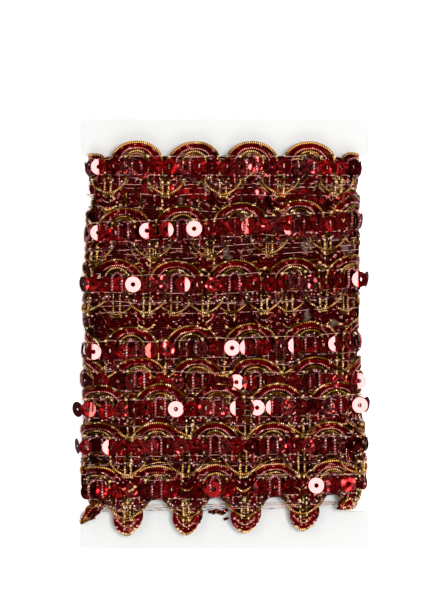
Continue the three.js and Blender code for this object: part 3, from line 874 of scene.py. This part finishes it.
def sequinRow(name, route, places, rows, seed):
    # Every sequin is a thin flat ring in two halves that meet at a crease across it. A point at distance r
    # and angle a from the middle lies at r cos a along and r sin a aside, and each half keeps to its plane.
    rng = np.random.default_rng(seed)
    count, segments = len(places), sequin["segments"]
    placed = np.flatnonzero(rows >= 0)
    across = rng.normal(0, 0.3, count)
    out = sequin["out"] + rng.uniform(-0.2, 0.3, count)
    fold = rng.uniform(-0.5, 0.5, count)
    turned, whole = (np.isin(rows, [i for i, row in enumerate(placedSequins) if row[column] == word])
                     for column, word in ((4, "none"), (2, "both")))
    across[placed] = 0
    out += 0.6 * (rows >= 0) + 0.4 * whole
    spot, outward = layOnWinding(route, places, across, out, 0.5)
    ahead, _ = layOnWinding(route, places + 0.02, across, out, 0.5)
    along = unit(ahead - spot)
    for index in placed:
        _, x, half, share, _, lean = placedSequins[rows[index]]
        fold[index] = {"left": 2 * share - 1, "right": 1 - 2 * share, "both": 0}[half] * sequin["radius"]
        if lean is not None:
            lean = math.radians(math.copysign(lean, x))
            outward[index] = [math.sin(lean), 0, math.cos(lean)]
            along[index] = [math.cos(lean), 0, -math.sin(lean)]
            spot[index, 0] = x
            spot[index, 2] = winding["middle"] + 5.6 * math.cos(lean) + (0 if turned[index] else 1.2)
    side = unit(np.cross(outward, along))
    left, right = sequinFacings(rows, spot, outward, along, side, rng)

    # Place of every corner along and aside, with the corners nearest the crease drawn on to it
    fold = fold[:, None, None]
    plain = (np.arange(segments) / segments * fullCircle)[None, :, None]
    rim, hole = np.full(count, sequin["radius"]), np.where(turned, sequin["hole"] / 2, sequin["hole"])
    radius = np.stack([hole, rim, rim, hole], -1)[:, None, :]
    depth = np.array([0, 0, sequin["thick"], sequin["thick"]])
    quarter = np.arccos(np.clip(fold / radius, -1, 1)) / (math.pi / 2)
    signed = np.where(plain > math.pi, plain - fullCircle, plain)
    size = np.abs(signed)
    angle = np.where(size < math.pi / 2, size * quarter, math.pi - (math.pi - size) * (2 - quarter))
    angle = angle * np.sign(signed)
    alongBy, sideBy = radius * np.cos(angle), radius * np.sin(angle)
    alongBy = np.where(np.abs(alongBy - fold) < 1e-6, fold, alongBy)

    # The crease lies in both planes, and each half runs off at right angles to it
    crease = np.cross(left, right)
    flat = np.linalg.norm(crease, axis=1, keepdims=True) < 1e-3
    crease = unit(np.where(flat, side - left * (side * left).sum(1, keepdims=True), crease))
    crease *= np.sign((crease * side).sum(1, keepdims=True))
    each = np.s_[:, None, None]
    onRight = (alongBy > fold)[..., None]
    facing = np.where(onRight, right[each], left[each])
    runOff = np.where(onRight, np.cross(crease, right)[each], np.cross(crease, left)[each])
    points = (spot[each] + along[each] * fold[..., None] + crease[each] * sideBy[..., None]
              + runOff * (alongBy - fold)[..., None] - facing * depth[:, None])
    points[..., 2] = np.maximum(points[..., 2], 0.02)

    inward = (np.abs(spot[:, 0]) < sequin["shadowFrom"])[each]
    sparkling = rng.uniform(0, 1, (count, 1, 1)) < sequin["sparkling"]
    darkest, redder = sequin["tone"]
    tone = darkest + redder * rng.uniform(0, 1, (count, 1, 1)) ** 1.5
    # Painted shade on the sequins past the shadow line: darker tone, and no film
    values = {"tone": tone * np.where(inward, 1, sequin["shadowTone"]),
              "dents": np.where(sparkling, 3, rng.uniform(*sequin["dents"], (count, 1, 1))),
              "film": np.where(sparkling, 0.4, 0.1) * inward}
    values = {key: np.broadcast_to(value, (count, segments, 4)).copy() for key, value in values.items()}
    rightFaces = (alongBy + np.roll(alongBy, -1, 1)).mean(2, keepdims=True) > 2 * fold
    for index in placed:
        _, _, half, _, lamp, _ = placedSequins[rows[index]]
        if lamp in placedLooks:
            lit = {"left": ~rightFaces[index], "right": rightFaces[index], "both": True}[half]
            for key, value in placedLooks[lamp].items():
                values[key][index] = np.where(lit, value, placedLooks["away"][key])
    for suffix, chosen, finish in (("", ~turned, "sequin"), ("_turned", turned, "sequinBack")):
        if chosen.any():
            quads = gridQuads(segments, 4, closed=True)
            part = plainPart(points[chosen].reshape(-1, segments * 4, 3), quads)
            part["values"] = {key: value[chosen].ravel() for key, value in values.items()}
            makePiece(name + suffix, [part], trimMaterials[finish], smooth=False)


shownPlaces, shownRows = sequinPlaces(shownRoute)
sequinRow("sequins_shown", shownRoute, shownPlaces, shownRows, 3)
coveredStep = sequin["spacing"] / winding["repeat"]
coveredPlaces = np.arange(coveredRoute["begin"], coveredRoute["finish"], coveredStep)
sequinRow("sequins_covered", coveredRoute, coveredPlaces, np.full(len(coveredPlaces), -1), 4)
print("sequins sewn")


# Stitching threads along the trim: millimetres across, the same on the last turn, and out
threadTable = {"upper": (3.65, 3.65, 0.2), "lower": (-3.4, -3.4, -0.15), "point": (-6.8, -6.8, 0.15),
               "loops": (-10.7, -7.7, 0.35)}
coveredThreadTable = {"upper": (3.65, 3.65, 0.3), "point": (-7.1, -7.1, 0.9)}
thread = {"radius": 0.12, "sides": 4, "step": 1.6}
# Dark tape that the sequins are sewn to, near-black as a painted shade under them: half its width, how far
# out it lies and its thickness
tape = {"half": 3.6, "out": -1.0, "thick": 0.25, "step": 1.6}


def threadPieces(name, route, table):
    parts = []
    for key, (level, lastLevel, out) in table.items():
        seed = sum(map(ord, key))
        arch = np.arange(route["begin"], route["finish"], thread["step"] / winding["repeat"])
        across = level + (lastLevel - level) * smoothStep((arch - route["fronts"][-1][0]) / 2 + 1)
        drift = wobble(arch, seed, 0.22) + wobble(arch, 5, 0.2)
        weave = 0.65 * np.sin(arch * fullCircle * 4.5 + seed) + wobble(arch, seed + 1, 0.25)
        spot, outward = layOnWinding(route, arch, across + drift, out + weave, 0.2)
        parts.append(sweepCord(spot, outward, thread["radius"], thread["sides"]))
    makePiece(name, parts, trimMaterials["thread"])


def tapePiece(name, route):
    # A flat strip along the middle of the trim
    arch = np.arange(route["begin"], route["finish"], tape["step"] / winding["repeat"])
    half, low = tape["half"], tape["out"] - tape["thick"]
    rows = [layOnWinding(route, arch, across + wobble(arch, 5, 0.2), np.full_like(arch, out), 0.3)[0]
            for across, out in ((half, tape["out"]), (-half, tape["out"]), (-half, low), (half, low))]
    sweptPiece(name, np.stack(rows, 1), trimMaterials["tape"], closed=False)


threadPieces("threads", shownRoute, threadTable)
threadPieces("threads_covered", coveredRoute, coveredThreadTable)
tapePiece("tape_shown", shownRoute)
tapePiece("tape_covered", coveredRoute)


# Knots of the stitching where it ties a cord down, pale so that they also stand as painted glints, in one
# repeat: millimetres along, across and out, and half their length, width and height
knotTable = {
    "gold": {"size": (0.66, 0.5, 0.4), "share": 0.75, "material": "goldKnot", "at": [
        (9.3, 3.65, 0.4), (4.2, 3.65, 0.4), (9.6, -6.0, 0.4), (10.3, -16.4, 0.2), (9.0, -15.8, 0.2),
        (8.0, -14.9, 0.2)]},
    "bars": {"size": (0.36, 0.7, 0.3), "share": 0.55, "material": "goldKnot", "at": [
        (9.8, -6.6, 0.4), (9.7, -8.0, 0.4), (9.8, -9.6, 0.4), (9.7, -11.4, 0.5), (9.8, -13.2, 0.5),
        (9.6, 1.2, 0.1), (9.6, -1.2, 0.1), (4.2, 1.4, 0.1)]},
    "pink": {"size": (0.46, 0.36, 0.34), "share": 0.6, "material": "pinkKnot", "at": [
        (7.8, -7.0, 0.35), (6.6, -3.4, 0.35), (8.4, -3.4, 0.35), (6.9, -11.2, 0.4), (5.6, 3.6, 0.35),
        (8.6, -12.2, 0.4), (9.8, -14.4, 0.4), (4.6, -3.6, 0.4), (9.0, -5.2, 0.3), (7.2, -13.4, 0.3)]},
}


def knotPiece(name, route, places, across, out, size, rng, material):
    # Small closed ellipsoids stretched along the trim: three rings of six points and two poles
    spot, outward = layOnWinding(route, places, across, out, 0.4)
    ahead, _ = layOnWinding(route, places + 0.01, across, out, 0.4)
    along = unit(ahead - spot)
    side = np.cross(outward, along)
    latitude = np.radians([-45, 0, 45])[:, None]
    turn = np.arange(6) / 6 * fullCircle
    rings = np.stack([np.cos(latitude) * np.cos(turn), np.cos(latitude) * np.sin(turn),
                      np.sin(latitude) + 0 * turn], -1).reshape(-1, 3)
    shape = np.vstack([rings, [[0, 0, -1], [0, 0, 1]]]) * np.array(size)
    shape = shape * rng.uniform(0.65, 1.3, len(places))[:, None, None]
    points = spot[:, None] + np.einsum("kpa,kac->kpc", shape, np.stack([along, side, outward], 1))
    points[..., 2] = np.maximum(points[..., 2], 0.02)
    column, beside = np.arange(6), (np.arange(6) + 1) % 6
    tris = np.vstack([np.stack([np.full(6, 18), beside, column], -1),
                      np.stack([np.full(6, 19), column + 12, beside + 12], -1)])
    makePiece(name, [plainPart(points, gridQuads(3, 6), tris)], trimMaterials[material])


def tieCords(name, route, finish, table, kept=1.0):
    # Knots at the table's places in every repeat, some left out: half of those in the lobes but for the last
    # turn, which has more of all, and half of those on the back
    rng = np.random.default_rng(sum(map(ord, finish)))
    repeats = np.arange(math.ceil(route["begin"]) + 1, math.floor(route["finish"]))
    places, across, out = [], [], []
    for along, level, above in table["at"]:
        for signed in (along, -along):
            places.append(repeats + (signed + rng.normal(0, 0.12, len(repeats))) / winding["repeat"])
            across.append(level + rng.normal(0, 0.15, len(repeats)))
            out.append(above + rng.normal(0, 0.08, len(repeats)))
    places, across, out = (np.concatenate(values) for values in (places, across, out))
    back = np.interp(places, route["arch"], route["back"])
    common = np.where(places > route["fronts"][-1][0], 1.6, np.where(across < -11.8, 0.5, 1))
    share = table["share"] * kept * common
    tied = rng.uniform(0, 1, len(places)) < share * (1 - 0.5 * back)
    places, across, out = places[tied], across[tied], out[tied]
    across = across + wobble(places, 5, 0.2)
    knotPiece(name, route, places, across, out, table["size"], rng, table["material"])


for finish, table in knotTable.items():
    tieCords("knots_" + finish, shownRoute, finish, table)
    tieCords("knots_covered_" + finish, coveredRoute, finish, table, 0.5)
# The stitch that holds each sequin, seen in its hole
stitchRandom = np.random.default_rng(21)
stitched = shownPlaces[(shownRows < 0) & (stitchRandom.uniform(0, 1, len(shownPlaces)) < 0.4)]
knotPiece("knots_hole", shownRoute, stitched, wobble(stitched, 5, 0.2),
          np.full(len(stitched), sequin["out"]), (0.28, 0.75, 0.2), stitchRandom, "thread")


def scrapPieces():
    # A frayed end of cord and a crumb of it, caught between two points at the bottom. A wavy line of cord: y
    # is its middle plus a sine of x.
    for name, finish, x, y, size in (("scrap_burgundy", "burgundy", (-5.8, 1.3), -66.6, 0.55),
                                     ("scrap_gold", "gold", (-4.4, 0.6), -67.5, 0.3),
                                     ("scrap_crumb", "burgundy", (-0.1, 1.5), -69.7, 0.5)):
        along = np.linspace(*x, 12)
        path = np.stack([along, y + 0.35 * np.sin(along * 1.6), 9.4 + 0.2 * np.cos(along * 2.1)], -1)
        part = sweepCord(path, np.tile([0.0, 0.0, 1.0], (12, 1)), size, 6, np.full(12, 0.3))
        makePiece(name, [part], gimpMaterials[finish])


scrapPieces()
print("threads sewn")


# The sleeve under all the turns: its walls from the card's middle, its ends, and points round the section
coreSleeve = {"outer": 4.4, "inner": 1.8, "top": 62.0, "bottom": -57.5, "points": 72}


def coveredCore():
    # The section of the winding, swept from the bottom to the top
    length = np.linspace(0, loopLength, coreSleeve["points"], endpoint=False)
    corners = (("outer", "top"), ("outer", "bottom"), ("inner", "bottom"), ("inner", "top"))
    same = np.ones_like(length)
    points = np.stack([placeOnLoop(length, same * coreSleeve[end], same * coreSleeve[wall])[0]
                       for wall, end in corners], 1)
    # The inner wall is drawn out at the sides, clear of the edges of the card's waist
    walls = points[:, 2:, 0]
    walls += np.sign(walls) * np.maximum(np.abs(walls) - winding["flatHalf"], 0)
    standOff(points)
    return sweptPiece("covered_core", points, trimMaterials["core"], closed=True)


core = coveredCore()
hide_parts("wound_trim")

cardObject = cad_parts["card"]
cardObject.data.materials.clear()
cardObject.data.materials.append(boardMaterial())
print("card finished")


def makeFloor():
    # Matt white acrylic lit from below, which washes out the shadow round the card
    material, _ = newMaterial("backlitAcrylic")
    finishMaterial(material, Base_Color="#fbfbfb", Roughness=0.9, Emission_Color="#ffffff",
                   Emission_Strength=0.5)
    half = 3.0
    mesh = bpy.data.meshes.new("floor")
    mesh.from_pydata([(-half, -half, 0), (half, -half, 0), (half, half, 0), (-half, half, 0)], [],
                     [(0, 1, 2, 3)])
    mesh.materials.append(material)
    floor = addObject("floor", mesh)


def makeLamps():
    # Round softboxes aimed at the middle of the card
    for name, lamp in lamps.items():
        size = 2 * lamp["distance"] * math.tan(math.radians(lamp["spread"]))
        light = bpy.data.lights.new(name, "AREA")
        light.shape = "DISK"
        light.size = size
        light.color = lamp["colour"]
        light.energy = lamp["radiance"] * math.pi * math.pi * (size / 2) ** 2
        holder = addObject(name, light)
        holder.location = towards(lamp) * lamp["distance"]
        holder.rotation_euler = Vector(-towards(lamp)).to_track_quat("-Z", "Y").to_euler()


def makeWorld():
    # A light tent: dim overhead, bright towards the walls, with bright patches where its cloth is thin
    world = bpy.data.worlds.new("tent")
    world.use_nodes = True
    tree = world.node_tree
    tree.nodes.clear()
    place = addNode(tree, "TexCoord").outputs["Generated"]
    upward = addNode(tree, "SeparateXYZ", {"Vector": place}).outputs["Z"]
    height = addNode(tree, "MapRange", {0: upward, 1: 0.45, 2: 0.85, 3: 0.24, 4: 0.08}, **eased)
    cloth = addNode(tree, "TexNoise", {"Vector": place, "Scale": 15.0, "Detail": 1.0})
    thin = addNode(tree, "MapRange", {0: cloth, 1: 0.6, 2: 0.68, 3: 0.0, 4: 3.4}, **eased)
    whole = addNode(tree, "Math", {0: height, 1: thin}, operation="ADD")
    background = addNode(tree, "Background", {"Strength": whole})
    addNode(tree, "OutputWorld", {"Surface": background})
    bpy.context.scene.world = world
    bpy.context.scene.view_settings.view_transform = "Standard"
    bpy.context.scene.view_settings.look = "Medium High Contrast"


def makeCamera():
    camera = bpy.data.cameras.new("above")
    camera.lens = view["lens"]
    camera.sensor_width = view["sensor"]
    camera.clip_start = 0.01
    holder = addObject("above", camera)
    holder.location = eye * mm
    bpy.context.scene.camera = holder


makeFloor()
makeLamps()
makeWorld()
makeCamera()
print("stage set")
